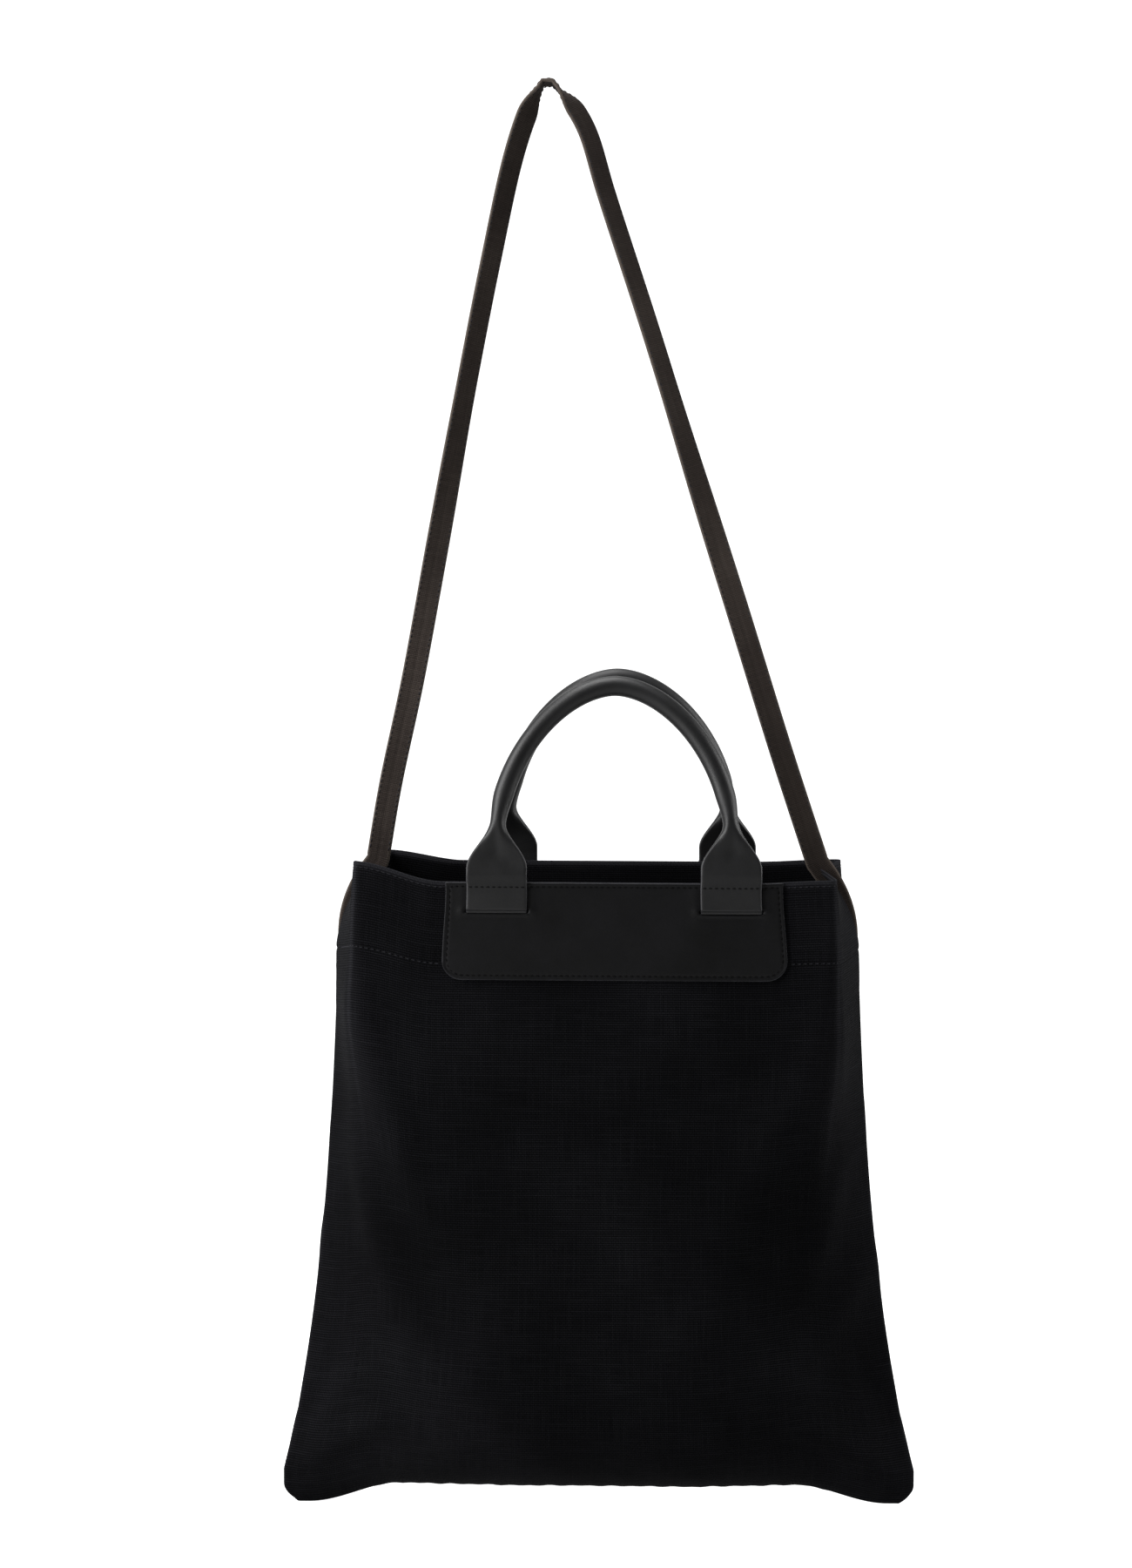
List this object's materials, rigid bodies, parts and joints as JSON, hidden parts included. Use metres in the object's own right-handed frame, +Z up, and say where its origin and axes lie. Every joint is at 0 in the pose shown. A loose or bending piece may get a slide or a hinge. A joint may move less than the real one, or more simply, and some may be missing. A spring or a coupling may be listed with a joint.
{
  "type": "canvas tote bag",
  "caption": "Flat canvas tote bag with leather patches, rolled leather carrying handles and a narrow canvas shoulder strap, shown hanging by the strap.",
  "frame": {"origin": "the underside of the shoulder strap at the point where the hanging bag is held", "axes": "+X to the right across the front face, +Y from the front face to the back face, +Z up along the hanging bag"},
  "size_m": [0.393, 0.0954, 0.8832],
  "materials": {
    "canvas": "matt black dyed cotton canvas, plain weave",
    "strap_canvas": "matt black folded and topstitched cotton canvas",
    "binding_tape": "matt black cotton seam tape",
    "leather": "smooth black cowhide with a fine grain and a soft sheen",
    "thread": "black polyester sewing thread",
    "cotton_core": "undyed twisted cotton cord"
  },
  "bodies": {
    "strap": {"shoulder_strap": "strap_canvas"},
    "bag": {"front_panel": "canvas", "front_facing": "canvas", "back_panel": "canvas", "back_facing": "canvas", "left_seam_binding": "binding_tape", "right_seam_binding": "binding_tape", "bottom_seam_binding": "binding_tape", "front_patch": "leather", "front_tab_left": "leather", "front_tab_right": "leather", "back_patch": "leather", "back_tab_left": "leather", "back_tab_right": "leather", "strap_tail_left": "strap_canvas", "strap_tail_right": "strap_canvas", "front_hem_thread_left": "thread", "front_hem_thread_right": "thread", "front_rim_thread_left": "thread", "front_rim_thread_right": "thread", "front_border_thread": "thread", "front_top_thread": "thread", "front_tab_thread_left": "thread", "front_tab_thread_right": "thread", "front_slit_thread_left": "thread", "front_slit_thread_right": "thread", "back_hem_thread_left": "thread", "back_hem_thread_right": "thread", "back_rim_thread_left": "thread", "back_rim_thread_right": "thread", "back_border_thread": "thread", "back_top_thread": "thread", "back_tab_thread_left": "thread", "back_tab_thread_right": "thread", "back_slit_thread_left": "thread", "back_slit_thread_right": "thread"},
    "front_handle": {"front_handle": "leather", "front_handle_core": "cotton_core"},
    "back_handle": {"back_handle": "leather", "back_handle_core": "cotton_core"}
  },
  "joints": [
    {"name": "bag_swing", "type": "hinge", "parent": "strap", "child": "bag", "pos_m": [0.03, 0, -0.4788], "axis": [1, 0, 0], "range_deg": [-75, 75]},
    {"name": "front_handle_fold", "type": "hinge", "parent": "bag", "child": "front_handle", "pos_m": [0.042, -0.0472, -0.4818], "axis": [1, 0, 0], "range_deg": [-4, 165]},
    {"name": "back_handle_fold", "type": "hinge", "parent": "bag", "child": "back_handle", "pos_m": [0.042, 0.0472, -0.4818], "axis": [-1, 0, 0], "range_deg": [-4, 165]}
  ]
}
